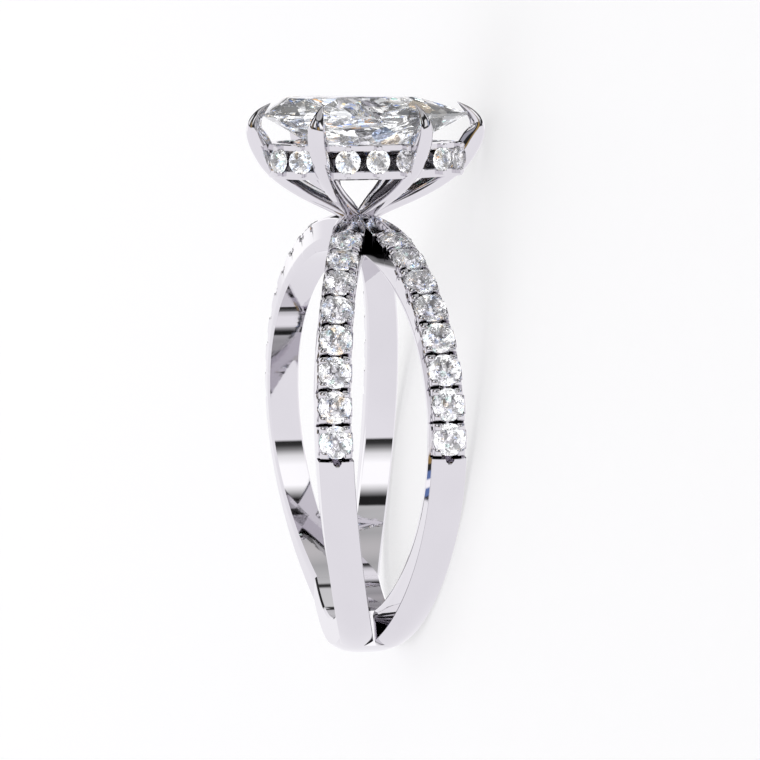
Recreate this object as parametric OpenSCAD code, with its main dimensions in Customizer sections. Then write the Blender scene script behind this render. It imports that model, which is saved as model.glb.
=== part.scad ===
// Split shank ring with a pear cut centre stone, a hidden halo and pave on the upper half.
// The ring is laid out upright round its finger axis, then laid on its side as it rests.

/* [Finger hole] */
// Diameter of the finger hole
bore_d = 17.3; // [17:0.1:18]
// Chamfer along both edges of the finger hole
bore_chamfer = 0.18; // [0.1:0.02:0.24]

/* [Bands] */
// Width of one band along the finger
band_w = 1.54; // [1.5:0.02:1.6]
// Radial thickness of a band at the top of its crown
band_t = 1.7; // [1.65:0.05:1.8]
// Height of the crown over its two edges
band_crown = 0.26; // [0.2:0.02:0.32]
// How far each band's centre line stands from the middle where the split is widest
spread = 2.51; // [2.3:0.02:2.7]
// Angle from the top at which the split is widest
spread_angle = 80; // [75:1:85]
// Offset of a band's centre line at the upper end of the split
spread_top = 0.91; // [0.86:0.01:0.96]
// Angle from the top of the upper end of the split
split_top_angle = 17; // [16:1:18]
// Offset of a band's centre line where it meets the foot
spread_foot = 0.8; // [0.78:0.01:0.86]
// Angle from the top at which the bands meet the foot
foot_angle = 153; // [151:1:155]
// Height of the foot's wide crown over its two edges
foot_crown = 0.42; // [0.36:0.02:0.46]

/* [Pave] */
// Stones in one row
pave_count = 8; // [6:1:8]
// Diameter of a pave stone
pave_d = 1.36; // [1.3:0.02:1.38]
// Angle from the top of the first stone
pave_first_angle = 22.7; // [22:0.1:24]
// Angle between two stones
pave_pitch = 8.66; // [8.6:0.02:8.8]
// Width of the saw cut between two stones
pave_cut_w = 0.07; // [0.06:0.01:0.1]
// Depth of the saw cut between two stones
pave_cut_depth = 0.2; // [0.16:0.02:0.24]

/* [Centre stone] */
// Length of the pear, along the finger
stone_l = 9.57; // [9.3:0.01:9.7]
// Width of the pear
stone_w = 6.2; // [6:0.1:6.3]
// Height of the girdle over the finger axis
girdle_z = 14.83; // [14.7:0.01:15]
// How far the pear's middle stands from the middle of the ring, towards its tip
stone_shift = 0.38; // [0.3:0.01:0.45]
// Height of the crown over the girdle
crown_h = 0.86; // [0.8:0.02:0.95]
// Depth of the pavilion under the girdle
pavilion_h = 2.6; // [2.4:0.05:2.7]
// Size of the table, as a share of the girdle
table_share = 0.6; // [0.55:0.01:0.64]

/* [Basket] */
// How far the claws stand outside the girdle
claw_overhang = 0.82; // [0.75:0.01:0.86]
// Height of the claws' roots over the finger axis
claw_root_z = 9.95; // [9.85:0.05:10.1]
// Height of the claws' tips over the finger axis
claw_tip_z = 15.5; // [15.4:0.02:15.6]
// Height of the lower rail's underside
lower_rail_z = 12.03; // [11.95:0.01:12.1]
// Thickness of the lower rail
lower_rail_t = 0.4; // [0.36:0.01:0.44]
// Height of the upper rail's underside
upper_rail_z = 13.3; // [13.28:0.01:13.36]
// Thickness of the upper rail
upper_rail_t = 0.33; // [0.3:0.01:0.36]
// Diameter of a halo stone
halo_d = 1.05; // [1:0.01:1.08]

/* [Hidden] */

// Clearance kept between a stone and the metal round it
seat_gap = 0.1;
bore_r = bore_d / 2;
crown_r = bore_r + band_t;
half_w = band_w / 2;

// How far round its cosine a band's line has gone at each end of the split
swing_top = 79;
swing_foot = 117;

// Offset of a band's centre line at an angle from the top, on either side of it
function spread_at(a) =
    let (
        upper = abs(a) < spread_angle,
        end_angle = upper ? split_top_angle : foot_angle,
        end_spread = upper ? spread_top : spread_foot,
        swing = upper ? swing_top : swing_foot,
        way = (abs(a) - spread_angle) / (end_angle - spread_angle)
    )
    spread - (spread - end_spread) * (1 - cos(swing * way)) / (1 - cos(swing));

// A point of the ring at an angle from the top, positive towards the front
function ring_point(x, r, a) = [x, -r * sin(a), r * cos(a)];

// Profile of a band or of the foot, as [across, radius], with its lower edge inside the bore
crown_steps = 6;
profile_dip = 0.25;
function crowned_profile(w, top, rise, power) =
    concat(
        [
            [w - bore_chamfer - profile_dip, bore_r - profile_dip],
            [w, bore_r + bore_chamfer],
        ],
        [
            for (i = [0:crown_steps])
                let (u = 1 - 2 * i / crown_steps)
                [w * u, top - rise * pow(abs(u), power)]
        ],
        [
            [-w, bore_r + bore_chamfer],
            [-w + bore_chamfer + profile_dip, bore_r - profile_dip],
        ]
    );

// A solid through rings of points, each with the same number of points
module loft(rings) {
    n = len(rings);
    m = len(rings[0]);
    points = [for (ring = rings) each ring];
    sides = [
        for (i = [0:n - 2], j = [0:m - 1])
            let (a = i * m + j, b = i * m + (j + 1) % m)
            each [[a, b, b + m], [a, b + m, a + m]]
    ];
    first = [[for (j = [m - 1:-1:0]) j]];
    last = [[for (j = [0:m - 1]) (n - 1) * m + j]];
    polyhedron(points, concat(first, sides, last), convexity = 8);
}

band_steps = 88;
foot_overlap = 2;
function band_rings(side) =
    let (
        profile = crowned_profile(half_w, crown_r, band_crown, 2),
        reach = foot_angle + foot_overlap
    )
    [
        for (i = [0:band_steps])
            let (a = reach - 2 * reach * i / band_steps)
            [for (p = profile) ring_point(side * spread_at(a) + p[0], p[1], a)]
    ];

// The foot is one wide crowned piece that takes both bands
foot_steps = 14;
foot_half_w = spread_foot + half_w + 0.02;
foot_drop = 0.03;
foot_power = 3.2;
function foot_rings() =
    let (
        profile = crowned_profile(foot_half_w, crown_r - foot_drop, foot_crown, foot_power),
        reach = 180 - foot_angle
    )
    [
        for (i = [0:foot_steps])
            let (a = 180 + reach - 2 * reach * i / foot_steps)
            [for (p = profile) ring_point(p[0], p[1], a)]
    ];

// Pear outline, as a point at an angle round it: 0 is the tip and 180 the round end
pear_taper = 0.75;
pear_share = 1 / (2 + pear_taper);
pear_peak = 2 * sqrt(pear_share) * pow(1 - pear_share, (1 + pear_taper) / 2);
function pear_point(t, grow = 0) = [
    stone_shift + (stone_l / 2 + grow) * cos(t),
    (stone_w / 2 + grow) / pear_peak * sin(t) * pow(abs(sin(t / 2)), pear_taper),
];
function pear_outline(grow, steps) = [for (i = [0:steps - 1]) pear_point(360 * i / steps, grow)];

// Claws stand at these angles round the pear: tip, shoulders and round end
claw_angles = [0, 65.5, 121, 180, 239, 294.5];
// Columns: share of the height, share of the reach, width of the face, depth
CLAW_ROWS = [
    [0.000, 0.10, 0.60, 0.60],
    [0.085, 0.27, 0.60, 0.70],
    [0.190, 0.50, 0.64, 0.78],
    [0.300, 0.69, 0.70, 0.86],
    [0.425, 0.84, 0.76, 0.95],
    [0.550, 0.93, 0.80, 0.99],
    [0.665, 0.985, 0.82, 0.96],
    [0.770, 1.00, 0.78, 0.80],
    [0.855, 0.975, 0.62, 0.62],
    [0.930, 0.905, 0.38, 0.38],
    [0.985, 0.815, 0.12, 0.12],
];
claw_edge_drop = 0.12;
claw_back_share = 0.6;

// Ring of points of a claw at one row, across its own line
function claw_path(row, reach) = [row[1] * reach, claw_root_z + row[0] * (claw_tip_z - claw_root_z)];
function claw_ring(i, reach, turn) =
    let (
        row = CLAW_ROWS[i],
        here = claw_path(row, reach),
        ahead = claw_path(CLAW_ROWS[min(i + 1, len(CLAW_ROWS) - 1)], reach),
        behind = claw_path(CLAW_ROWS[max(i - 1, 0)], reach),
        run = ahead - behind,
        out = [run[1], -run[0]] / norm(run),
        w = row[2] / 2,
        d = row[3],
        drop = min(claw_edge_drop, d / 2),
        back = claw_back_share * w,
        section = [[w, drop], [w / 2, 0], [-w / 2, 0], [-w, drop], [-back, d], [back, d]]
    )
    [
        for (s = section)
            let (r = here[0] - s[1] * out[0], z = here[1] - s[1] * out[1])
            [r * cos(turn) - s[0] * sin(turn), r * sin(turn) + s[0] * cos(turn), z]
    ];

function claw_reach(t) = norm(pear_point(t)) + claw_overhang;
function claw_turn(t) = atan2(pear_point(t)[1], pear_point(t)[0]);

function claw_rings(t) = [for (i = [0:len(CLAW_ROWS) - 1]) claw_ring(i, claw_reach(t), claw_turn(t))];

// Rails and the recessed wall between them follow the pear
rail_steps = 40;
rail_inset = 0.12;
rail_w = 0.55;
wall_inset = 0.42;
wall_w = 0.3;
module pear_band(inset, w, z, t) {
    translate([0, 0, z])
        linear_extrude(height = t)
            difference() {
                polygon(pear_outline(-inset, rail_steps));
                polygon(pear_outline(-inset - w, rail_steps));
            }
}

module rails() {
    pear_band(rail_inset + 0.1, rail_w, lower_rail_z, lower_rail_t);
    pear_band(rail_inset, rail_w, upper_rail_z, upper_rail_t);
    pear_band(wall_inset, wall_w, lower_rail_z + 0.1, upper_rail_z - lower_rail_z);
}

// A round stone with a table, crown, girdle and pavilion, its axis along Z and its girdle at 0
round_sides = 16;
table_round = 0.56;
crown_round = 0.16;
girdle_round = 0.03;
pavilion_round = 0.43;
function circle_ring(r, z, n, turn = 0) = [
    for (i = [0:n - 1]) [r * cos(360 * i / n + turn), r * sin(360 * i / n + turn), z]
];

module round_stone(d) {
    n = round_sides;
    m = n / 2;
    points = concat(
        circle_ring(d / 2 * table_round, d * crown_round, m),
        circle_ring(d / 2, d * girdle_round / 2, n),
        circle_ring(d / 2, -d * girdle_round / 2, n),
        [[0, 0, -d * pavilion_round]]
    );
    table = [[for (i = [m - 1:-1:0]) i]];
    stars = [for (i = [0:m - 1]) [i, (i + 1) % m, m + 2 * i + 1]];
    mains = [
        for (i = [0:m - 1])
            each [[i, m + 2 * i + 1, m + 2 * i], [i, m + 2 * i, m + (2 * i + n - 1) % n]]
    ];
    girdle = [
        for (i = [0:n - 1])
            let (j = (i + 1) % n)
            each [[m + i, m + j, m + n + j], [m + i, m + n + j, m + n + i]]
    ];
    pavilion = [for (i = [0:n - 1]) [m + n + i, m + n + (i + 1) % n, m + 2 * n]];
    polyhedron(points, concat(table, stars, mains, girdle, pavilion), convexity = 2);
}

// The hole that a round stone sits in: straight above the girdle, a cone below it
seat_sides = 12;
seat_rise = 0.6;
seat_tip_r = 0.08;
module round_seat(d) {
    r = d / 2 + seat_gap;
    low = -d * girdle_round / 2 - seat_gap;
    tip = -d * pavilion_round - seat_gap;
    loft([
        circle_ring(r, seat_rise, seat_sides, 15),
        circle_ring(r, low, seat_sides, 15),
        circle_ring(seat_tip_r, tip - seat_gap / 2, seat_sides, 15),
    ]);
}

// Place a child on a band, its axis pointing out of the ring
pave_girdle_r = crown_r - 0.22;
function pave_angle(i) = pave_first_angle + i * pave_pitch;
module on_band(side, a, r) {
    translate(ring_point(side * spread_at(a), r, a))
        rotate([a, 0, 0])
            children();
}

module pave_row(side, front) {
    for (i = [0:pave_count - 1])
        on_band(side, front * pave_angle(i), pave_girdle_r)
            round_stone(pave_d);
}

// What is cut from a band for one row: the seats, the saw cuts across, and the notch at the end
groove_w = band_w + 0.4;
end_notch_r = 0.19;
end_notch_depth = 0.3;
end_notch_turn = 0.8;
module pave_cuts(side, front) {
    for (i = [0:pave_count - 1])
        on_band(side, front * pave_angle(i), pave_girdle_r)
            round_seat(pave_d);
    for (i = [0:pave_count])
        on_band(side, front * (pave_angle(i) - pave_pitch / 2), crown_r)
            cube([groove_w, pave_cut_w, 2 * pave_cut_depth], center = true);
    on_band(side, front * (pave_angle(pave_count) - pave_pitch / 2 + end_notch_turn), crown_r)
        cylinder(r = end_notch_r, h = 2 * end_notch_depth, center = true, $fn = 10);
}

// Halo stones look outwards between the rails, at these angles round the pear
halo_angles = [24, 44.5, 71, 88.5, 106, 136, 155.5];
halo_z = (lower_rail_z + lower_rail_t + upper_rail_z) / 2;
halo_inset = 0.16;
module on_halo(t) {
    step = 0.5;
    p = pear_point(t, -halo_inset);
    q = pear_point(t + step, -halo_inset) - pear_point(t - step, -halo_inset);
    translate([p[0], p[1], halo_z])
        rotate([90, 0, atan2(q[1], q[0])])
            children();
}

module each_halo_stone() {
    for (t = halo_angles) {
        on_halo(t) children();
        on_halo(360 - t) children();
    }
}

// Two small tabs over and under each halo stone
tab_size = [0.24, 0.2, 0.36];
tab_rise = 0.04;
tab_out = 0.02;
module halo_tabs() {
    for (end = [-1, 1])
        translate([0, end * (halo_d / 2 + seat_gap + tab_rise), tab_out])
            cube(tab_size, center = true);
}

// The pear stone: rings of the same outline at several heights
pear_steps = 32;
girdle_t = 0.1;
culet_share = 0.03;
bulge_share = 0.55;
star_share = (1 + table_share) / 2 + 0.03;
function pear_ring(share, z, middle, grow = 0) = [
    for (i = [0:pear_steps - 1])
        let (p = pear_point(360 - 360 * i / pear_steps, grow))
        [middle + (p[0] - middle) * share, p[1] * share, z]
];
// The table is drawn in towards the pear's belly, and the culet towards its middle
culet_x = stone_shift - 0.35;
table_x = stone_shift - 1.7;
function pear_rings(grow = 0) = [
    pear_ring(culet_share, girdle_z - pavilion_h - grow, culet_x),
    pear_ring(bulge_share, girdle_z - bulge_share * pavilion_h - grow, culet_x),
    pear_ring(1, girdle_z - grow / 2, culet_x, grow),
    pear_ring(1, girdle_z + girdle_t + grow / 2, table_x, grow),
    pear_ring(star_share, girdle_z + girdle_t + crown_h / 2 + grow, table_x, grow),
    pear_ring(table_share, girdle_z + crown_h + grow, table_x),
];

// The upright ring is laid on its side: it leans on its tip claw and on the right band, which
// is the lean at which the lowest of the claw's points is level with the lowest of the band's
tip_line = [for (row = CLAW_ROWS) claw_path(row, claw_reach(0))];
side_line = [for (ring = band_rings(1)) ring[2]];
lean = min([for (q = side_line) max([for (p = tip_line) atan2(p[0] - q[0], p[1] - q[2])])]);
function lie(p) = [p[0] * sin(lean) + p[2] * cos(lean), p[1], p[2] * sin(lean) - p[0] * cos(lean)];
outer_rings = concat(
    band_rings(-1),
    band_rings(1),
    foot_rings(),
    pear_rings(),
    [for (t = claw_angles) each claw_rings(t)]
);
outer_points = [for (ring = outer_rings, p = ring) lie(p)];
lying_x = [for (p = outer_points) p[0]];
lying_z = [for (p = outer_points) p[2]];
module lay_down() {
    translate([-(min(lying_x) + max(lying_x)) / 2, 0, -min(lying_z)])
        rotate([0, 90 - lean, 0])
            children();
}

module set_band(side) {
    difference() {
        loft(band_rings(side));
        for (front = [-1, 1]) pave_cuts(side, front);
    }
}

module basket() {
    difference() {
        union() {
            rails();
            each_halo_stone() halo_tabs();
            for (t = claw_angles) loft(claw_rings(t));
        }
        each_halo_stone() round_seat(halo_d);
        loft(pear_rings(seat_gap));
    }
}

bore_run = 30;
module metal() {
    difference() {
        union() {
            set_band(-1);
            set_band(1);
            loft(foot_rings());
            basket();
        }
        rotate([0, 90, 0]) cylinder(r = bore_r, h = bore_run, center = true, $fn = 96);
    }
}

module shank_and_basket() {
    color("gainsboro") lay_down() metal();
}

module centre_stone() {
    color("aliceblue") lay_down() loft(pear_rings());
}

module halo_stones() {
    color("white") lay_down() each_halo_stone() round_stone(halo_d);
}

module pave_row_front_left() {
    color("white") lay_down() pave_row(-1, 1);
}

module pave_row_front_right() {
    color("white") lay_down() pave_row(1, 1);
}

module pave_row_back_left() {
    color("white") lay_down() pave_row(-1, -1);
}

module pave_row_back_right() {
    color("white") lay_down() pave_row(1, -1);
}

shank_and_basket();
centre_stone();
halo_stones();
pave_row_front_left();
pave_row_front_right();
pave_row_back_left();
pave_row_back_right();
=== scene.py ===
"""Looks of a split shank ring that lies on its side: a polished white gold mounting, a pear cut
centre stone in six claws, a hidden halo under it, and rows of pave stones down each band.

Every form is worked out upright, in millimetres: X along the finger, Y away from the camera and
Z up through the centre stone, from the middle of the finger hole. lie() takes points from there
into the row frame, in metres, where the ring rests on its side.
"""

import math

import bmesh
import bpy
import numpy as np
from mathutils import Matrix, Vector


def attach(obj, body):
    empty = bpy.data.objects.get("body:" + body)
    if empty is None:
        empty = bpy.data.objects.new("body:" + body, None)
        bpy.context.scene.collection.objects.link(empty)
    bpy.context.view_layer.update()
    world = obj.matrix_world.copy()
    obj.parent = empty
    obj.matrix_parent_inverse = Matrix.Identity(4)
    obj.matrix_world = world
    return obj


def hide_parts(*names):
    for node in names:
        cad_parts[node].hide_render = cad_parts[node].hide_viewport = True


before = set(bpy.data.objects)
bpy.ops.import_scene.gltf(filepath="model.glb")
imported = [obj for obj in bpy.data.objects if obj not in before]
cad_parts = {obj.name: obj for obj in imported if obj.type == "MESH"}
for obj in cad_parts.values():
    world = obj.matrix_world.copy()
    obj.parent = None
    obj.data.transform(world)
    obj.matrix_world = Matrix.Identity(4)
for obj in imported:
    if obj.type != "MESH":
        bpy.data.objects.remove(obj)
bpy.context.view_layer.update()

# How the ring rests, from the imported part
LEAN = math.radians(9.93147)
REST_SHIFT = np.array([-2.8913, 0.0, 3.45426])

# Finger hole and bands
BORE_R = 8.65
CROWN_R = 10.35
BAND_HALF = 0.77
BAND_CROWN = 0.26
SPREAD, SPREAD_ANGLE = 2.51, 80.0
SPREAD_TOP, SPLIT_TOP_ANGLE, SWING_TOP = 0.91, 17.0, 79.0
SPREAD_FOOT, FOOT_ANGLE, SWING_FOOT = 0.8, 153.0, 117.0
FOOT_CROWN, FOOT_POWER = 0.42, 3.2

# Pave rows
PAVE_COUNT, PAVE_FIRST, PAVE_PITCH, PAVE_D = 8, 22.7, 8.66, 1.43
PAVE_GIRDLE_R = CROWN_R - 0.22

# Centre stone
STONE_L, STONE_W, STONE_SHIFT = 9.57, 6.2, 0.38
PEAR_TAPER = 0.75
GIRDLE_Z, CROWN_H, PAVILION_H = 14.83, 0.96, 2.6

# Basket. A rail is (low, high), and its inset is measured in from the stone's outline
CLAW_OVERHANG, CLAW_ROOT_Z, CLAW_TIP_Z = 0.795, 9.95, 15.5
LOWER_RAIL, LOWER_INSET = (12.03, 12.43), 0.22
UPPER_RAIL, UPPER_INSET = (13.3, 13.63), 0.12
RAIL_WIDTH, RAIL_OVERLAP = 0.5, 0.03
WALL_INSETS = (0.67, 1.07, 1.15, 0.82)
HALO_Z = 12.865
HALO_D, HALO_INSET = 1.15, 0.08
TAB_SIZE, TAB_UP, TAB_OUT = (0.26, 0.24, 0.34), 0.6, 0.03
HALO_ANGLES = (24, 44.5, 71, 88.5, 106, 136, 155.5)


def lie(points):
    """Upright points, in millimetres, as they lie in the row frame, in metres."""
    p = np.asarray(points, float)
    s, c = math.sin(LEAN), math.cos(LEAN)
    x, y, z = p[..., 0], p[..., 1], p[..., 2]
    turned = np.stack([x * s + z * c, y, z * s - x * c], -1)
    return (turned + REST_SHIFT) / 1000


def turn_only(direction):
    """An upright direction in the row frame."""
    return Vector(lie(np.array(direction, float)) - lie(np.zeros(3))).normalized()


def smooth_step(low, high, value):
    t = np.clip((np.asarray(value, float) - low) / (high - low), 0, 1)
    return t * t * (3 - 2 * t)


def spread_at(angle):
    """Offset of a band's centre line at an angle from the top, in degrees."""
    a = np.abs(np.asarray(angle, float))
    upper = a < SPREAD_ANGLE
    end_angle = np.where(upper, SPLIT_TOP_ANGLE, FOOT_ANGLE)
    end_spread = np.where(upper, SPREAD_TOP, SPREAD_FOOT)
    swing = np.radians(np.where(upper, SWING_TOP, SWING_FOOT))
    way = (a - SPREAD_ANGLE) / (end_angle - SPREAD_ANGLE)
    return SPREAD - (SPREAD - end_spread) * (1 - np.cos(swing * way)) / (1 - np.cos(swing))


def ring_point(x, r, angle):
    """A point at an angle from the top, in degrees, positive towards the front."""
    a = np.radians(angle)
    x, r, a = np.broadcast_arrays(x, r, a)
    return np.stack([x, -r * np.sin(a), r * np.cos(a)], -1)


class Clay:
    """Gathers the faces of one piece, upright and in millimetres, and makes its object."""

    def __init__(self, name, materials):
        self.name, self.materials = name, materials
        self.points, self.faces, self.slots, self.smooth = [], [], [], []
        self.count = 0

    def add(self, points, faces, slot=0, smooth=True):
        self.points.append(np.asarray(points, float).reshape(-1, 3))
        self.faces += [[i + self.count for i in face] for face in faces]
        self.slots += [slot] * len(faces)
        self.smooth += [smooth] * len(faces)
        self.count += len(self.points[-1])

    def sheet(self, grid, wrap_rows=False, wrap_columns=True, caps=True, slot=0, smooth=True):
        """A grid of points as quads, its columns joined round, its ends closed or joined."""
        grid = np.asarray(grid, float)
        n, m = grid.shape[:2]
        i, j = np.meshgrid(
            np.arange(n if wrap_rows else n - 1),
            np.arange(m if wrap_columns else m - 1),
            indexing="ij",
        )
        i, j = i.ravel(), j.ravel()
        k, l = (i + 1) % n, (j + 1) % m
        faces = np.stack([i * m + j, i * m + l, k * m + l, k * m + j], -1).tolist()
        if caps and not wrap_rows:
            faces.append(list(range(m - 1, -1, -1)))
            faces.append(list(range((n - 1) * m, n * m)))
        self.add(grid, faces, slot, smooth)

    def piece(self, node, sharp=32.0):
        mesh = bpy.data.meshes.new(self.name)
        mesh.from_pydata(lie(np.concatenate(self.points)).tolist(), [], self.faces)
        for material in self.materials:
            mesh.materials.append(material)
        mesh.polygons.foreach_set("material_index", self.slots)
        mesh.polygons.foreach_set("use_smooth", self.smooth)
        mesh.set_sharp_from_angle(angle=math.radians(sharp))
        mesh.update()
        obj = bpy.data.objects.new(self.name, mesh)
        bpy.context.scene.collection.objects.link(obj)
        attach(obj, "root")
        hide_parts(node)
        return obj


class Socket:
    """A shader value that Python's operators work on."""

    def __init__(self, shader, link):
        self.shader, self.link = shader, link

    def _math(self, operation, *values):
        return self.shader.node("ShaderNodeMath", {"operation": operation}, dict(enumerate(values)))

    def __add__(self, other):
        return self._math("ADD", self, other)

    def __radd__(self, other):
        return self._math("ADD", other, self)

    def __sub__(self, other):
        return self._math("SUBTRACT", self, other)

    def __mul__(self, other):
        return self._math("MULTIPLY", self, other)

    def __pow__(self, other):
        return self._math("POWER", self, other)


class Nodes:
    """A node tree made by named calls."""

    def __init__(self, tree):
        self.tree = tree
        tree.nodes.clear()

    def put(self, socket, value):
        if isinstance(value, Socket):
            self.tree.links.new(value.link, socket)
        else:
            socket.default_value = value

    def node(self, kind, settings=None, values=None, out=0):
        """A node of a type, with its settings and then the values or links of its sockets."""
        made = self.tree.nodes.new(kind)
        for key, value in (settings or {}).items():
            if key == "interpolation":
                made.color_ramp.interpolation = value
            elif key == "stops":
                for stop, (place, colour) in enumerate(value):
                    elements = made.color_ramp.elements
                    element = elements[stop] if stop < 2 else elements.new(place)
                    element.position, element.color = place, colour
            else:
                setattr(made, key, value)
        for key, value in (values or {}).items():
            self.put(made.inputs[key], value)
        return Socket(self, made.outputs[out]) if made.outputs else None

    def mix(self, share, first, second):
        values = {0: share, 6: first, 7: second}
        return self.node("ShaderNodeMix", {"data_type": "RGBA"}, values, out=2)


class Shader(Nodes):
    """The nodes of one material."""

    def __init__(self, name):
        self.material = bpy.data.materials.new(name)
        self.material.use_nodes = True
        super().__init__(self.material.node_tree)

    def principled(self, **values):
        values = {key.replace("_", " "): value for key, value in values.items()}
        surface = self.node("ShaderNodeBsdfPrincipled", values=values, out="BSDF")
        self.node("ShaderNodeOutputMaterial", values={"Surface": surface})
        return self.material


def place_noise(shader, scale, detail=3.0):
    """Noise over the object's own coordinates, in row frame metres."""
    place = shader.node("ShaderNodeTexCoord", out="Object")
    return shader.node("ShaderNodeTexNoise", values={"Vector": place, "Scale": scale, "Detail": detail})


# Where shade is painted near black into the gold, in millimetres from the finger axis and up from it
CLEFT_R, CLEFT_UP, CLEFT_ACROSS_SQUARED = (8.72, 8.8, 10.06, 9.98), (8.2, 8.35), (0.9, 0.6)
NECK_R, NECK_UP, NECK_SIDE = (9.7, 9.8, 10.2, 10.06), (9.6, 9.66), (0.88, 0.82)
NECK_WIDENING, NECK_SHARE = 0.24, 0.85
SHADE = (0.012, 0.011, 0.013, 1)


def white_gold(name, low, high):
    """Mirror polish with the faint waviness of hand buffing, with shade painted near black into the cleft
    and the neck's cuts.
    """
    s = Shader(name)
    waves = place_noise(s, 260, detail=2.0)
    haze = place_noise(s, 1500, detail=4.0)
    tone = s.node(
        "ShaderNodeValToRGB",
        {"stops": [(0.3, low), (0.7, high)]},
        {"Fac": waves},
    )
    place = s.node("ShaderNodeTexCoord", out="Object")
    values = {0: place, 1: Vector(lie(np.zeros(3)))}
    from_middle = s.node("ShaderNodeVectorMath", {"operation": "SUBTRACT"}, values)

    def along(axis):
        values = {0: from_middle, 1: turn_only(axis) * 1000}
        return s.node("ShaderNodeVectorMath", {"operation": "DOT_PRODUCT"}, values, out="Value")

    def fade(value, start, end):
        return s.node("ShaderNodeMapRange", values={"Value": value, "From Min": start, "From Max": end})

    across, back, up = along((1, 0, 0)), along((0, 1, 0)), along((0, 0, 1))
    from_axis = (back**2 + up**2) ** 0.5
    past_side = (across**2) ** 0.5 - (back**2) ** 0.5 * NECK_WIDENING

    def shell(radii, heights):
        return fade(from_axis, *radii[:2]) * fade(from_axis, *radii[2:]) * fade(up, *heights)

    # Painted shade: the cleft under the head and the neck's cuts are mixed towards SHADE in the colour
    cleft_painted_shade = shell(CLEFT_R, CLEFT_UP) * fade(across**2, *CLEFT_ACROSS_SQUARED)
    neck_painted_shade = shell(NECK_R, NECK_UP) * fade(past_side, *NECK_SIDE) * NECK_SHARE
    tone = s.mix(cleft_painted_shade + neck_painted_shade, tone, SHADE)
    bump = s.node(
        "ShaderNodeBump", values={"Height": waves, "Strength": 0.02, "Distance": 0.0001}, out="Normal"
    )
    return s.principled(Base_Color=tone, Metallic=1.0, Roughness=0.015 + haze * 0.03, Normal=bump)


# Painted reflections on a cut stone's patches: clear, grey and near black ones, and a few painted
# coloured flashes
PAINTED_REFLECTIONS_AND_FIRE = (
    (0.0, (1, 1, 1, 1)),
    (0.40, (0.86, 0.87, 0.9, 1)),
    (0.58, (0.6, 0.61, 0.64, 1)),
    (0.72, (0.34, 0.35, 0.38, 1)),
    (0.80, (0.08, 0.08, 0.1, 1)),
    (0.85, (0.45, 0.62, 1.0, 1)),
    (0.89, (1.0, 0.74, 0.45, 1)),
    (0.92, (0.6, 1.0, 0.9, 1)),
    (0.94, (1, 1, 1, 1)),
)


def cut_diamond(name, scale, share, tilt, glow):
    """Clear stone whose small facets lean differently, as in a brilliant cut, with painted reflections in
    their colour.
    """
    s = Shader(name)
    place = s.node("ShaderNodeTexCoord", out="Object")
    patches = s.node("ShaderNodeTexVoronoi", values={"Vector": place, "Scale": scale}, out="Color")
    chance = s.node("ShaderNodeSeparateColor", values={"Color": patches})
    # Painted reflections: each patch gets a grey, black or coloured flash in its colour
    painted_flashes = s.node("ShaderNodeValToRGB", {"stops": PAINTED_REFLECTIONS_AND_FIRE, "interpolation": "CONSTANT"}, {"Fac": chance})
    painted_reflection_tint = s.mix(share, (1, 1, 1, 1), painted_flashes)
    values = {0: patches, 1: (tilt, tilt, tilt), 2: (-tilt / 2, -tilt / 2, -tilt / 2)}
    lean = s.node("ShaderNodeVectorMath", {"operation": "MULTIPLY_ADD"}, values)
    flat = s.node("ShaderNodeNewGeometry", out="Normal")
    leaning = s.node("ShaderNodeVectorMath", {"operation": "ADD"}, {0: flat, 1: lean})
    normal = s.node("ShaderNodeVectorMath", {"operation": "NORMALIZE"}, {0: leaning})
    return s.principled(
        Base_Color=painted_reflection_tint,
        Roughness=0.0,
        IOR=2.42,
        Transmission_Weight=1.0,
        Normal=normal,
        # Painted glow: the stone gives off a faint light of its painted colour, though it is no lamp
        Emission_Color=painted_reflection_tint,
        Emission_Strength=glow,
    )


GOLD = white_gold("polished_white_gold", (0.73, 0.715, 0.745, 1), (0.76, 0.745, 0.775, 1))
# The wall behind the halo: the same polish with its colour painted near black, as painted shade in the
# recess
SHADE_PAINTED_GOLD = white_gold("shade_painted_white_gold", (0.1, 0.095, 0.105, 1), (0.15, 0.145, 0.155, 1))
# The last value is the strength of each stone's painted glow
PEAR_DIAMOND = cut_diamond("pear_diamond", 1250, 0.85, 0.3, 0.04)
SMALL_DIAMOND = cut_diamond("small_diamond", 4600, 0.75, 0.2, 0.05)


# Columns of a band's profile: across its top, then down the side and along the bore
TOP_X = np.array(
    [0, 0.07, 0.12, 0.155, 0.178, 0.19, 0.29, 0.32, 0.35, 0.4, 0.48, 0.58, 0.67, 0.695, 0.73, 0.755, 0.77]
)
SIDE_R = np.array([10.02, 9.9, 9.6, 9.2, 8.85])
CHAMFER = 0.09
SEAT_R = 0.722
SLOT_HALF = 0.07
SLOT_FLOOR = 9.72
GROOVE_R = 9.4
NOTCH_R = 0.19
MM_PER_DEGREE = math.radians(1) * PAVE_GIRDLE_R
# How far the metal between the stones lies under the crown
ROW_DROP = 0.03
# A seat's depth under the girdle, its slope inwards, and the least its circle and its wall may be
SEAT_DEPTH, SEAT_SLOPE, LEAST_CIRCLE, LEAST_WALL = 0.08, 0.75, 0.04, 0.006
# Where the open middle of the row ends across the band, and the rounding of the metal beside it
OPEN_MIDDLE, RIM_START, RIM_ROUND, RIM_DROP = (0.28, 0.34), 0.3, 0.06, 0.05
# The hollow beside each slot's outer end, where the corner claws stand: across, along and down
HOLLOW_X, HOLLOW_S, HOLLOW_DEPTH = (0.68, 0.695), (0.4, 0.42), 0.3
# Past this the band's top is lowered a little, which eases its edge
EASED_X = 0.76
# How far the polished faces lie inside those of the solids
POLISHED_OFF = 0.02
# The foot's half length, in degrees
FOOT_HALF = 27


def crown_at(x):
    return CROWN_R - POLISHED_OFF - BAND_CROWN * (x / BAND_HALF) ** 2


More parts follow.
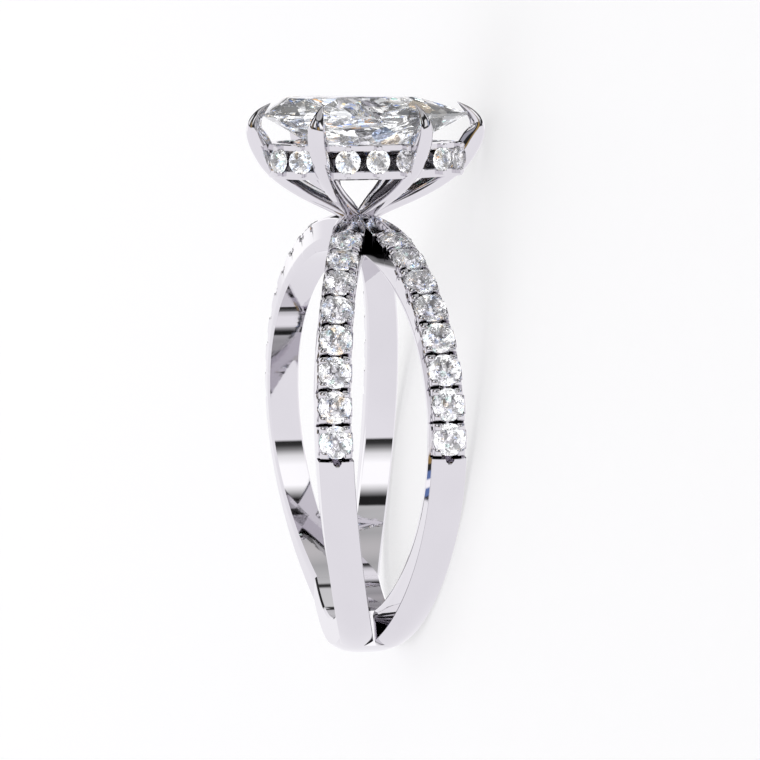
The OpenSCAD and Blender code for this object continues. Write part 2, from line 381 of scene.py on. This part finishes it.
def seat_line(x, kind, share=0.0):
    """How far from a stone's middle one line of its seat, claws or slot runs, and its height."""
    half_pitch = PAVE_PITCH / 2 * MM_PER_DEGREE
    circle = np.sqrt(np.maximum(SEAT_R**2 - x**2, LEAST_CIRCLE**2))
    slot = np.maximum(half_pitch - SLOT_HALF, circle + LEAST_WALL)
    inner = smooth_step(*OPEN_MIDDLE, x)
    row_top = crown_at(x) - ROW_DROP
    if kind == "seat":
        within = np.maximum(SEAT_R - np.hypot(x, circle * share), 0)
        seat = PAVE_GIRDLE_R - SEAT_DEPTH - SEAT_SLOPE * within
        return circle * share, np.where(x > SEAT_R, row_top, seat)
    if kind == "wall":
        return circle, np.where(x > SEAT_R, row_top, PAVE_GIRDLE_R - SEAT_DEPTH)
    if kind == "rim":
        s = circle + (slot - circle) * share
        edge = np.minimum(s - circle, np.minimum(np.maximum(x - RIM_START, 0), BAND_HALF - x + 0.02))
        drop = RIM_DROP * np.maximum(0, 1 - edge / RIM_ROUND) ** 2
        hollow = HOLLOW_DEPTH * smooth_step(*HOLLOW_X, x) * smooth_step(*HOLLOW_S, s)
        top = row_top - drop - hollow
        return s, SLOT_FLOOR + (top - SLOT_FLOOR) * inner
    return half_pitch + 0 * x, GROOVE_R + 0 * x


SEAT_LINES = [("seat", 0.0), ("seat", 0.35), ("seat", 0.7), ("seat", 0.93), ("wall", 1.0)]
SEAT_LINES += [("rim", share) for share in (0.03, 0.12, 0.3, 0.5, 0.55, 0.57, 0.8, 1.0)]
SEAT_LINES += [("groove", 0.0)]


# The bright cuts: where they widen and end, in degrees, their depth, and their reach across
CUT_WIDENS, CUT_ENDS, CUT_DEPTH, CUT_REACH = (4.0, 17.0), (17.4, 17.9), 0.36, 0.73
# Shares of that reach: half the ridge between them, and a cut's width at its start and gained
CUT_RIDGE, CUT_START, CUT_GAIN = 0.1, 0.02, 0.86


def bright_cut(x, angle):
    """Depth of the two bright cuts that narrow towards the head, above the first stone."""
    way = smooth_step(*CUT_WIDENS, angle)
    u = np.abs(x) / CUT_REACH
    across = np.clip((u - CUT_RIDGE) / (CUT_START + CUT_GAIN * way), 0, 1)
    return CUT_DEPTH * way * (1 - smooth_step(*CUT_ENDS, angle)) * np.sin(np.pi * across) ** 0.8


def band_lines():
    """(angles, heights) over TOP_X for each line of a band, from the head down to the foot."""
    first_slot = PAVE_FIRST - PAVE_PITCH / 2
    x = TOP_X
    lines = []
    for angle in np.linspace(0, first_slot - 0.26, 30):
        lines.append((angle + 0 * x, crown_at(x) - bright_cut(x, angle) - 0.03 * (x > EASED_X)))
    edge = first_slot - SLOT_HALF / MM_PER_DEGREE
    lines.append((edge - 0.05 + 0 * x, crown_at(x) - 0.005))
    lines.append((edge + 0 * x, crown_at(x) - ROW_DROP))
    for stone in range(PAVE_COUNT):
        middle = PAVE_FIRST + stone * PAVE_PITCH
        half = []
        for kind, share in SEAT_LINES:
            s, r = seat_line(x, kind, share)
            half.append((s / MM_PER_DEGREE, r))
        lines += [(middle - s, r) for s, r in reversed(half)][:-1]
        lines += [(middle + s, r) for s, r in half][:-1]
        lines.append((middle + half[-1][0], half[-1][1]))
    last_slot = PAVE_FIRST + (PAVE_COUNT - 0.5) * PAVE_PITCH + SLOT_HALF / MM_PER_DEGREE
    notch = np.sqrt(np.maximum(NOTCH_R**2 - x**2, 0)) / MM_PER_DEGREE
    lines.append((last_slot + 0.5 * notch, np.where(x < NOTCH_R, 9.8, crown_at(x) - 0.02)))
    lines.append((last_slot + 0.02 + notch, crown_at(x) - 0.015))
    lines.append((last_slot + 0.1 + notch * 1.05, crown_at(x) - 0.002))
    for angle in np.linspace(last_slot + 1.8, FOOT_ANGLE + 2, 70):
        eased = 0.02 * (x > EASED_X)
        lines.append((angle + 0 * x, crown_at(x) - eased - 0.003 * (abs(x - 0.755) < 0.01)))
    return lines


def band_ring(angles, heights, side, front):
    """One closed ring of a band's points."""
    x = np.concatenate([-TOP_X[:0:-1], TOP_X])
    a = np.concatenate([angles[:0:-1], angles])
    r = np.concatenate([heights[:0:-1], heights])
    down = np.minimum(SIDE_R, r[-1] - 0.01 * np.arange(1, len(SIDE_R) + 1))
    bore_x = np.array([BAND_HALF - CHAMFER, 0.3, 0, -0.3, CHAMFER - BAND_HALF])
    x = np.concatenate([x, BAND_HALF + 0 * down, bore_x, -BAND_HALF + 0 * down])
    r = np.concatenate([r, down, BORE_R + 0 * bore_x, down[::-1]])
    a = np.concatenate([a, angles[-1] + 0 * down, angles[-1] + 0 * bore_x, angles[-1] + 0 * down])
    return ring_point(side * spread_at(a) + x, r, front * a)


def shank():
    """Two bands and the wide crowned foot that takes them."""
    clay = Clay("shank", [GOLD])
    lines = band_lines()
    for side in (-1, 1):
        rows = [band_ring(a, r, side, -1) for a, r in reversed(lines)]
        rows += [band_ring(a, r, side, 1) for a, r in lines[1:]]
        clay.sheet(np.array(rows)[::-1])
    half = SPREAD_FOOT + BAND_HALF + 0.02
    u = np.sin(np.linspace(-90, 90, 33) * math.pi / 180)
    top = CROWN_R - 0.03 - POLISHED_OFF - FOOT_CROWN * np.abs(u) ** FOOT_POWER
    x = np.concatenate([half * u, [half, half - CHAMFER, 0, CHAMFER - half, -half]])
    low = BORE_R + CHAMFER
    r = np.concatenate([top, [low, BORE_R, BORE_R, BORE_R, low]])
    clay.sheet([ring_point(x, r, a) for a in np.linspace(180 + FOOT_HALF, 180 - FOOT_HALF, 60)])
    return clay.piece("shank_and_basket")


def pear_point(t, grow=0.0):
    """A point of the pear's outline at t degrees: 0 is its tip and 180 its round end."""
    c = 1 / (2 + PEAR_TAPER)
    peak = 2 * math.sqrt(c) * (1 - c) ** ((1 + PEAR_TAPER) / 2)
    a = np.radians(t)
    y = np.sin(a) * np.abs(np.sin(a / 2)) ** PEAR_TAPER
    return np.stack(
        [STONE_SHIFT + (STONE_L / 2 + grow) * np.cos(a), (STONE_W / 2 + grow) / peak * y], -1
    )


CLAW_TURNS = (0, 65.5, 121, 180, 239, 294.5)
# Share of the height, share of the reach, width, depth, roundness of the face
CLAW_TABLE = np.array(
    [
        [0.000, 0.10, 0.62, 0.60, 0.10],
        [0.085, 0.27, 0.66, 0.70, 0.10],
        [0.190, 0.50, 0.70, 0.78, 0.10],
        [0.300, 0.69, 0.74, 0.88, 0.10],
        [0.425, 0.84, 0.78, 0.98, 0.11],
        [0.550, 0.93, 0.81, 1.02, 0.12],
        [0.665, 0.985, 0.82, 0.98, 0.13],
        [0.770, 1.00, 0.80, 0.82, 0.15],
        [0.855, 0.975, 0.68, 0.66, 0.15],
        [0.930, 0.905, 0.44, 0.42, 0.11],
        [0.976, 0.820, 0.14, 0.16, 0.04],
        [0.990, 0.785, 0.03, 0.03, 0.01],
    ]
)
# Shares of half the width and of the depth, down a claw's flank to its back
CLAW_FLANK = ((0.98, 0.4), (0.84, 0.68), (0.45, 0.97))


def through(table, steps):
    """Catmull-Rom curve through the rows of a table."""
    t = np.linspace(0, len(table) - 1, steps)
    i = np.minimum(t.astype(int), len(table) - 2)
    f = (t - i)[:, None]
    p = np.vstack([2 * table[0] - table[1], table, 2 * table[-1] - table[-2]])
    a, b, c, d = p[i], p[i + 1], p[i + 2], p[i + 3]
    square, cube = 2 * a - 5 * b + 4 * c - d, 3 * b - a - 3 * c + d
    return 0.5 * (2 * b + (c - a) * f + square * f**2 + cube * f**3)


def claw_grid(t):
    """Rings of one claw: a crowned face, tight corners and a back that narrows."""
    start = pear_point(t)
    reach = np.hypot(*start) + CLAW_OVERHANG
    turn = math.atan2(start[1], start[0])
    rows = through(CLAW_TABLE, 64)
    path = np.stack([rows[:, 1] * reach, CLAW_ROOT_Z + rows[:, 0] * (CLAW_TIP_Z - CLAW_ROOT_Z)], -1)
    run = np.gradient(path, axis=0)
    padded = np.vstack([run[:1]] * 4 + [run] + [run[-1:]] * 4)
    run = np.array([padded[i:i + 9].mean(axis=0) for i in range(len(path))])
    run /= np.linalg.norm(run, axis=1)[:, None]
    out = np.stack([run[:, 1], -run[:, 0]], -1)
    grid = []
    for (_, _, width, depth, crown), here, face in zip(rows, path, out):
        w = max(width, 0.02) / 2
        d = max(depth, 0.02)
        u = np.linspace(1, -1, 11)
        front = np.stack([w * u * 0.97, crown * u**2], -1)
        side = [[-w, crown + 0.06 * d]]
        side += [[-w * across, d * deep] for across, deep in CLAW_FLANK]
        back = [[0, d * 1.02]]
        other = [[-x, y] for x, y in reversed(side)]
        section = np.vstack([front, side, back, other])
        r = here[0] - section[:, 1] * face[0]
        z = here[1] - section[:, 1] * face[1]
        x = r * math.cos(turn) - section[:, 0] * math.sin(turn)
        y = r * math.sin(turn) + section[:, 0] * math.cos(turn)
        grid.append(np.stack([x, y, z], -1))
    return np.array(grid)


def pear_rings(section):
    """Closed rings that follow the pear, one for each (inset, height) of the section."""
    t = np.linspace(0, 360, 181)[:-1]
    grid = [np.column_stack([pear_point(t, -inset), np.full(len(t), z)]) for inset, z in section]
    return np.array(grid).transpose(1, 0, 2)


def rail_grid(low, high, inset, width, edge=0.05):
    """A rail that follows the pear, with its four edges eased."""
    section = [
        (0, low + edge), (0, high - edge), (edge, high), (width - edge, high),
        (width, high - edge), (width, low + edge), (width - edge, low), (edge, low),
    ]
    return pear_rings([(inset + depth, z) for depth, z in section])


def rounded_block(middle, across, up, out, size, ease=0.04):
    """A small block with eased edges, as points and faces."""
    half = np.array(size) / 2
    points, faces = [], []
    rings = [(-1, 0), (-1, 1), (1, 1), (1, 0)]
    for sign, full in rings:
        pull = 0 if full else ease
        z = sign * (half[2] - (0 if not full else ease))
        for sx, sy in ((-1, -1), (1, -1), (1, 1), (-1, 1)):
            cut_x, cut_y = half[0] - pull, half[1] - pull
            corner = [(sx * cut_x, sy * (cut_y - ease)), (sx * (cut_x - ease), sy * cut_y)]
            if sx * sy < 0:
                corner.reverse()
            for x, y in corner:
                points.append(middle + across * x + up * y + out * z)
    for ring in range(3):
        for k in range(8):
            a, b = ring * 8 + k, ring * 8 + (k + 1) % 8
            faces.append([a, b, b + 8, a + 8])
    faces.append(list(range(7, -1, -1)))
    faces.append(list(range(24, 32)))
    return np.array(points), faces


def halo_place(t):
    """Middle and axes (along the rail, up, outwards) of a halo stone."""
    p = pear_point(t, -HALO_INSET)
    q = pear_point(t + 0.5, -HALO_INSET) - pear_point(t - 0.5, -HALO_INSET)
    q /= np.hypot(*q)
    out = np.array([q[1], -q[0], 0])
    return np.array([*p, HALO_Z]), np.array([*q, 0]), np.array([0, 0, 1.0]), out


ALL_HALO = HALO_ANGLES + tuple(360 - t for t in reversed(HALO_ANGLES))


def basket():
    """Six claws, two gallery rails, and the wall that joins them behind the halo, its gold painted near
    black as shade.
    """
    clay = Clay("basket", [GOLD, SHADE_PAINTED_GOLD])
    for t in CLAW_TURNS:
        clay.sheet(claw_grid(t)[::-1])
    clay.sheet(rail_grid(*LOWER_RAIL, LOWER_INSET, RAIL_WIDTH), wrap_rows=True)
    clay.sheet(rail_grid(*UPPER_RAIL, UPPER_INSET, RAIL_WIDTH), wrap_rows=True)
    low, high = LOWER_RAIL[1] - RAIL_OVERLAP, UPPER_RAIL[0] + RAIL_OVERLAP
    # The wall takes the gold with painted shade
    clay.sheet(pear_rings(zip(WALL_INSETS, (low, high, high, low))), wrap_rows=True, slot=1)
    return clay.piece("shank_and_basket")


def facet_planes(outline, azimuths, slope, start_z, direction):
    """Cutting planes through the girdle line, at a slope, for each azimuth in degrees."""
    planes = []
    for azimuth in azimuths:
        a = math.radians(azimuth)
        face = np.array([math.cos(a), math.sin(a)])
        touch = (outline @ face).max()
        s = math.radians(slope(azimuth, touch) if callable(slope) else slope)
        normal = np.array([face[0] * math.sin(s), face[1] * math.sin(s), direction * math.cos(s)])
        planes.append((np.array([*(face * touch), start_z]), normal))
    return planes


def cut_stone(outline, planes, high, low):
    """The convex stone left of a prism over the outline after each plane is cut."""
    bm = bmesh.new()
    loops = [[bm.verts.new((*p, z)) for p in outline] for z in (low, high)]
    n = len(outline)
    bm.faces.new(loops[1])
    bm.faces.new(loops[0][::-1])
    for i in range(n):
        j = (i + 1) % n
        bm.faces.new([loops[0][i], loops[0][j], loops[1][j], loops[1][i]])
    for place, normal in planes:
        geom = bm.verts[:] + bm.edges[:] + bm.faces[:]
        cut = bmesh.ops.bisect_plane(
            bm, geom=geom, dist=1e-7, plane_co=Vector(place), plane_no=Vector(normal), clear_outer=True
        )
        edges = [e for e in cut["geom_cut"] if isinstance(e, bmesh.types.BMEdge)]
        if len(edges) > 2:
            bmesh.ops.contextual_create(bm, geom=edges)
    bmesh.ops.remove_doubles(bm, verts=bm.verts[:], dist=1e-4)
    bmesh.ops.recalc_face_normals(bm, faces=bm.faces[:])
    bm.verts.index_update()
    points = np.array([v.co[:] for v in bm.verts])
    faces = [[v.index for v in f.verts] for f in bm.faces if len(f.verts) > 2]
    bm.free()
    return points, faces


# A round brilliant: shares of its diameter, and slopes of its main and half facets in degrees
GIRDLE_SHARE, TABLE_UP, TABLE_EDGE = 0.015, 0.16, 0.265
CROWN_SLOPES, PAVILION_SLOPES, STAR_SLOPE = (34.5, 41.0), (40.8, 42.4), 22.0


def round_brilliant(d):
    """A round brilliant of that diameter, its girdle at 0 and its table up."""
    r = d / 2
    turns = np.radians(np.arange(0, 360, 7.5))
    outline = r * np.stack([np.cos(turns), np.sin(turns)], -1)
    girdle = GIRDLE_SHARE * d
    mains = np.arange(0, 360, 45.0)
    halves = np.arange(11.25, 360, 22.5)
    planes = [(np.array([0, 0, TABLE_UP * d]), np.array([0, 0, 1.0]))]
    for azimuths, slope in zip((mains, halves), CROWN_SLOPES):
        planes += facet_planes(outline, azimuths, slope, girdle, 1)
    star = math.radians(STAR_SLOPE)
    for azimuth in mains + 22.5:
        a = math.radians(azimuth)
        face = np.array([math.cos(a), math.sin(a)])
        place = np.array([*(TABLE_EDGE * d * face), TABLE_UP * d])
        planes.append((place, np.array([*(face * math.sin(star)), math.cos(star)])))
    for azimuths, slope in zip((mains, halves), PAVILION_SLOPES):
        planes += facet_planes(outline, azimuths, slope, -girdle, -1)
    return cut_stone(outline, planes, 0.3 * d, -0.6 * d)


# How far the culet, and the point that the crown's facets aim at, lie towards the round end
CULET_IN, BELLY_IN = 0.35, 1.7
# The girdle's thickness, and the share of the way to that point at which the table begins
PEAR_GIRDLE, TABLE_REACH = 0.1, 0.42
# Slopes of the flank facets of crown and pavilion, in degrees, and their step off the girdle
FLANK_CROWN, FLANK_PAVILION, FLANK_STEP = 41, 52, 0.08
# Slope of the small facets round the culet, and how far over it they meet
CULET_SLOPE, CULET_TRIM = 21, 0.12


def pear_brilliant():
    """The centre stone, its girdle at GIRDLE_Z."""
    t = np.linspace(0, 360, 97)[:-1]
    outline = pear_point(t)
    culet = np.array([STONE_SHIFT - CULET_IN, 0.0])
    belly = np.array([STONE_SHIFT - BELLY_IN, 0.0])
    top, bottom = GIRDLE_Z + PEAR_GIRDLE, GIRDLE_Z
    mains = np.array([0, 40, 68, 90, 112, 140, 180, 220, 248, 270, 292, 320])
    halves = (mains + np.roll(mains, -1) + np.where(np.arange(12) == 11, 360, 0)) / 2

    def to_culet(azimuth, touch):
        a = math.radians(azimuth)
        return math.degrees(math.atan2(PAVILION_H, touch - culet @ (math.cos(a), math.sin(a))))

    def to_table(azimuth, touch):
        a = math.radians(azimuth)
        run = TABLE_REACH * (touch - belly @ (math.cos(a), math.sin(a)))
        return math.degrees(math.atan2(CROWN_H - PEAR_GIRDLE, run))

    def at_edge(turns, shift, slope, height, direction):
        """Small planes through the girdle at turns of the outline, each swung aside a little."""
        found = []
        for turn in turns:
            p, run = pear_point(turn), pear_point(turn + 1) - pear_point(turn - 1)
            a = math.atan2(-run[0], run[1]) + math.radians(shift)
            face = np.array([math.cos(a), math.sin(a)])
            s = math.radians(slope)
            normal = np.array([*(face * math.sin(s)), direction * math.cos(s)])
            found.append((np.array([*p, height]), normal))
        return found

    planes = [(np.array([0, 0, GIRDLE_Z + CROWN_H - PEAR_GIRDLE]), np.array([0, 0, 1.0]))]
    planes += facet_planes(outline, mains, to_table, top, 1)
    planes += facet_planes(outline, halves, lambda a, w: to_table(a, w) + 4, top, 1)
    planes += facet_planes(outline, halves - 7, lambda a, w: to_table(a, w) + 7, top, 1)
    planes += facet_planes(outline, halves + 7, lambda a, w: to_table(a, w) + 7, top, 1)
    flanks = np.array([33, 45, 57, 303, 315, 327.0])
    for shift in (-1, 1):
        planes += at_edge(flanks, shift, FLANK_CROWN, top + FLANK_STEP, 1)
        planes += at_edge(flanks, shift, FLANK_PAVILION, bottom - FLANK_STEP, -1)
    planes += facet_planes(outline, halves - 8, lambda a, w: to_culet(a, w) + 4, bottom, -1)
    planes += facet_planes(outline, halves + 8, lambda a, w: to_culet(a, w) + 4, bottom, -1)
    planes += facet_planes(outline, mains, to_culet, bottom, -1)
    planes += facet_planes(outline, halves, lambda a, w: to_culet(a, w) + 1.5, bottom, -1)
    low = np.array([*culet, GIRDLE_Z - PAVILION_H])
    for azimuth in np.arange(11.25, 360, 22.5):
        a, s = math.radians(azimuth), math.radians(CULET_SLOPE)
        normal = np.array([math.cos(a) * math.sin(s), math.sin(a) * math.sin(s), -math.cos(s)])
        planes.append((low + np.array([0, 0, CULET_TRIM]), normal))
    return cut_stone(outline, planes, GIRDLE_Z + 2, GIRDLE_Z - 3.2)


def centre_stone():
    clay = Clay("pear_stone", [PEAR_DIAMOND])
    clay.add(*pear_brilliant(), smooth=False)
    return clay.piece("centre_stone")


def set_points(points, middle, across, along, out):
    return middle + points[:, :1] * across + points[:, 1:2] * along + points[:, 2:3] * out


BRILLIANT = {d: round_brilliant(d) for d in (PAVE_D, HALO_D)}


# Section of the keel that runs under a row's stones
KEEL_X, KEEL_R = np.array([-0.06, 0.06, 0.06, -0.06]), np.array([9.6, 9.6, 9.5, 9.5])
# A corner claw: half its size across and along the band, how far its middle rises over the crown
# and its rim lies under it, its distance from the band's edge, and the radius of its foot
CORNER_X, CORNER_S, CORNER_RISE, CORNER_SINK = 0.165, 0.15, 0.06, 0.05
CORNER_IN, CORNER_FOOT_R = 0.07, 9.95


def corner_claw(clay, side, front, angle, x_sign, s_sign):
    """One of the four small pillow shaped claws that hold a pave stone."""
    steps = np.array([-1, -1, -0.82, -0.45, 0, 0.45, 0.82, 1, 1])
    skirt = np.array([1, 0, 0, 0, 0, 0, 0, 0, 1])
    u, v = np.meshgrid(steps, steps, indexing="ij")
    low = np.maximum.outer(skirt, skirt)
    half_pitch = PAVE_PITCH / 2 * MM_PER_DEGREE
    x = x_sign * (BAND_HALF - CORNER_IN - CORNER_X) + u * CORNER_X
    s = s_sign * (half_pitch - SLOT_HALF - CORNER_S) + v * CORNER_S
    dome = np.sqrt(np.maximum((1 - np.abs(u) ** 3) * (1 - np.abs(v) ** 3), 0))
    top = crown_at(x) - CORNER_SINK + (CORNER_RISE + CORNER_SINK) * dome
    r = np.where(low, CORNER_FOOT_R, top)
    a = angle + s / MM_PER_DEGREE
    grid = ring_point(side * spread_at(a) + x, r, front * a)
    clay.sheet(grid if front > 0 else grid[::-1], wrap_columns=False, caps=False, slot=1)


def pave_row(side, front, name):
    """Eight stones down one quarter of a band, with the keel of metal that joins them."""
    clay = Clay(name, [SMALL_DIAMOND, GOLD])
    points, faces = BRILLIANT[PAVE_D]
    for stone in range(PAVE_COUNT):
        angle = PAVE_FIRST + stone * PAVE_PITCH
        a = math.radians(front * angle)
        out = np.array([0, -math.sin(a), math.cos(a)])
        along = np.array([0, math.cos(a), math.sin(a)])
        middle = ring_point(side * spread_at(angle), PAVE_GIRDLE_R, front * angle)
        clay.add(set_points(points, middle, np.array([1.0, 0, 0]), along, out), faces, smooth=False)
        for x_sign in (-1, 1):
            for s_sign in (-1, 1):
                corner_claw(clay, side, front, angle, x_sign, s_sign)
    keel = []
    for angle in np.linspace(PAVE_FIRST, PAVE_FIRST + (PAVE_COUNT - 1) * PAVE_PITCH, 30):
        x = side * spread_at(angle) + KEEL_X
        keel.append(ring_point(x, KEEL_R, front * angle))
    clay.sheet(keel, slot=1)
    return clay.piece(name.replace("stones", "row"))


def halo():
    """The hidden halo: fourteen stones, each with a small claw over and under it."""
    clay = Clay("halo", [SMALL_DIAMOND, GOLD])
    points, faces = BRILLIANT[HALO_D]
    for t in ALL_HALO:
        middle, along, up, out = halo_place(t)
        clay.add(set_points(points, middle, along, up, out), faces, smooth=False)
        for end in (-1, 1):
            place = middle + up * end * TAB_UP + out * TAB_OUT
            clay.add(*rounded_block(place, along, up, out, TAB_SIZE), slot=1)
    return clay.piece("halo_stones")


shank()
basket()
centre_stone()
halo()
for side, where in ((-1, "left"), (1, "right")):
    for front, which in ((1, "front"), (-1, "back")):
        pave_row(side, front, f"pave_stones_{which}_{where}")


# Camera as fitted to the photograph, in the upright frame
VIEW_TURN, VIEW_RISE, VIEW_ROLL = -8.476, 9.043, -0.087
VIEW_DISTANCE = 130.58
VIEW_TARGET = np.array([1.01, 0.0, 2.449])
FOCAL_SHARE = 2775.8 / 760


def camera():
    a, e, roll = (math.radians(v) for v in (VIEW_TURN, VIEW_RISE, VIEW_ROLL))
    away = np.array([math.sin(a) * math.cos(e), -math.cos(a) * math.cos(e), math.sin(e)])
    place = VIEW_DISTANCE * away
    ahead = VIEW_TARGET - place
    ahead /= np.linalg.norm(ahead)
    right = np.cross(ahead, [0, 0, 1.0])
    right /= np.linalg.norm(right)
    up = np.cross(right, ahead)
    c, s = math.cos(roll), math.sin(roll)
    right, up = right * c + up * s, up * c - right * s
    data = bpy.data.cameras.new("camera")
    data.sensor_width = 36.0
    data.lens = FOCAL_SHARE * 36.0
    data.clip_start, data.clip_end = 0.001, 10.0
    obj = bpy.data.objects.new("camera", data)
    axes = [turn_only(v) for v in (right, up, -ahead)]
    obj.matrix_world = Matrix.Translation(Vector(lie(place))) @ Matrix(axes).transposed().to_4x4()
    bpy.context.scene.collection.objects.link(obj)
    bpy.context.scene.camera = obj


# Half the floor's side, in metres, and its own glow
FLOOR_HALF, FLOOR_GLOW = 1.5, 0.53


def floor():
    mesh = bpy.data.meshes.new("floor")
    h = FLOOR_HALF
    mesh.from_pydata([(-h, -h, 0), (h, -h, 0), (h, h, 0), (-h, h, 0)], [], [(0, 1, 2, 3)])
    s = Shader("pale_floor")
    grain = place_noise(s, 900)
    tone = s.node(
        "ShaderNodeValToRGB",
        {"stops": [(0.0, (0.44, 0.44, 0.445, 1)), (1.0, (0.46, 0.46, 0.465, 1))]},
        {"Fac": grain},
    )
    glow = {"Emission_Color": (1, 1, 1, 1), "Emission_Strength": FLOOR_GLOW}
    mesh.materials.append(
        s.principled(Base_Color=tone, Roughness=0.6, Specular_IOR_Level=0.1, **glow)
    )
    obj = bpy.data.objects.new("floor", mesh)
    obj.visible_glossy = False
    obj.visible_transmission = False
    bpy.context.scene.collection.objects.link(obj)


def white(value):
    return (value, value, value, 1)


def studio_light():
    """Soft light by direction: white all round below, panels, gaps and colour above."""
    world = bpy.data.worlds.new("studio")
    bpy.context.scene.world = world
    world.use_nodes = True
    s = Nodes(world.node_tree)
    way = s.node("ShaderNodeTexCoord", out="Generated")

    def along(direction):
        values = {0: way, 1: turn_only(direction)}
        return s.node("ShaderNodeVectorMath", {"operation": "DOT_PRODUCT"}, values, out="Value")

    to_degrees = 180 / math.pi
    rise = s.node("ShaderNodeMath", {"operation": "ARCSINE"}, {0: along((0, 0, 1))}) * to_degrees
    aside, ahead = along((1, 0, 0)), along((0, -1, 0))
    turn = s.node("ShaderNodeMath", {"operation": "ARCTAN2"}, {0: aside, 1: ahead}) * to_degrees

    def within(value, middle, half, soft):
        """A share that is 1 within an angle of the middle and falls to 0 over the soft edge."""
        off = s.node("ShaderNodeMath", {"operation": "ABSOLUTE"}, {0: value - middle})
        values = {"Value": off, "From Min": half, "From Max": half + soft, "To Min": 1.0, "To Max": 0.0}
        return s.node("ShaderNodeMapRange", {"interpolation_type": "SMOOTHSTEP"}, values)

    def ramp(table):
        stops = [((90 + angle) / 180, colour) for angle, colour in table]
        return s.node("ShaderNodeValToRGB", {"stops": stops}, {"Fac": rise * (1 / 180) + 0.5})

    light = ramp(ROOM)
    for middle, height, half_turn, half_rise, soft, colour in PANELS:
        share = within(turn, middle, half_turn, soft) * within(rise, height, half_rise, soft)
        light = s.mix(share, light, colour)
    light = s.mix(within(turn, *KEY_TURN), light, ramp(KEY_LIGHT))
    cells = s.node("ShaderNodeTexVoronoi", values={"Vector": way, "Scale": SPARKLE_SCALE}, out="Color")
    chance = s.node("ShaderNodeSeparateColor", values={"Color": cells})
    settings = {"stops": SPARKLE, "interpolation": "CONSTANT"}
    sparkle = s.node("ShaderNodeValToRGB", settings, {"Fac": chance})
    through_stone = s.node("ShaderNodeLightPath", out="Is Transmission Ray")
    light = s.mix(through_stone, light, sparkle)
    background = s.node("ShaderNodeBackground", values={"Color": light, "Strength": ROOM_STRENGTH})
    s.node("ShaderNodeOutputWorld", values={"Surface": background})


def sun(strength):
    """Soft daylight from above for the floor alone."""
    data = bpy.data.lights.new("daylight", "SUN")
    data.energy = strength
    data.angle = math.radians(150)
    obj = bpy.data.objects.new("daylight", data)
    obj.visible_glossy = False
    obj.visible_transmission = False
    bpy.context.scene.collection.objects.link(obj)


ROOM_STRENGTH = 1.35
DAYLIGHT = 0.75
# What is seen through the stones, cell by cell
SPARKLE_SCALE = 4.0
SPARKLE = (
    (0.0, white(1.05)),
    (0.42, white(0.8)),
    (0.60, white(0.42)),
    (0.70, white(0.12)),
    (0.76, white(0.02)),
    (0.84, (0.12, 0.28, 0.9, 1)),
    (0.868, (1.0, 0.5, 0.15, 1)),
    (0.895, (0.25, 0.85, 0.7, 1)),
    (0.915, (1.0, 0.8, 0.35, 1)),
    (0.93, (0.85, 0.35, 0.5, 1)),
    (0.945, white(2.6)),
)
PALE_LOW, PALE = (0.715, 0.705, 0.73, 1), (0.735, 0.725, 0.75, 1)
WARM, SKY = (0.33, 0.22, 0.08, 1), (0.13, 0.2, 0.42, 1)
ROOM = (
    (-90, PALE_LOW),
    (12.8, PALE),
    (13.4, white(0.015)),
    (30, white(0.03)),
    (44, white(0.015)),
    (56.5, white(0.03)),
    (58.5, white(0.48)),
    (75, white(0.36)),
    (90, (0.58, 0.56, 0.56, 1)),
)
# The key light's turn, half width and soft edge, in degrees
KEY_TURN = (8, 9, 3)
KEY_LIGHT = (
    (-90, PALE_LOW),
    (12.8, PALE),
    (14.0, white(0.02)),
    (16.5, white(0.035)),
    (19.0, white(0.2)),
    (23.0, white(0.72)),
    (29.0, white(0.98)),
    (42.0, white(0.98)),
    (45.5, white(0.62)),
    (48.5, white(0.25)),
    (51.0, white(0.015)),
    (56.5, white(0.015)),
    (57.5, white(0.46)),
    (72.0, white(0.3)),
    (90.0, white(0.42)),
)
# Turn, height, half width, half height, soft edge, all in degrees, and the colour
PANELS = (
    (-15, 20.5, 8, 6, 1, WARM),
    (-15, 37.5, 3.5, 6, 1.5, SKY),
    (-15, 37.5, 2.5, 1.5, 1.5, white(1.1)),
    (50, 32, 14, 11, 3, white(0.7)),
    (80, 24, 9, 9, 2, (0.3, 0.34, 0.42, 1)),
    (105, 40, 8, 14, 3, white(0.9)),
    (148, 6, 12, 7, 2, white(0.95)),
    (-148, 6, 12, 7, 2, white(0.95)),
    (150, 33, 13, 8, 2, (0.34, 0.32, 0.31, 1)),
    (180, 40, 12, 12, 3, white(0.55)),
    (-122, 30, 10, 12, 2, white(0.8)),
    (-95, 22, 7, 9, 3, (0.2, 0.16, 0.12, 1)),
    (-62, 36, 12, 13, 3, white(0.85)),
    (-38, 24, 5, 8, 1, (0.3, 0.3, 0.34, 1)),
    (-30, 49, 9, 4, 2.5, (0.3, 0.32, 0.37, 1)),
)


def studio():
    studio_light()
    sun(DAYLIGHT)
    scene = bpy.context.scene
    scene.view_settings.view_transform = "Standard"
    scene.cycles.max_bounces = 14
    scene.cycles.glossy_bounces = 6
    scene.cycles.transmission_bounces = 12


camera()
floor()
studio()
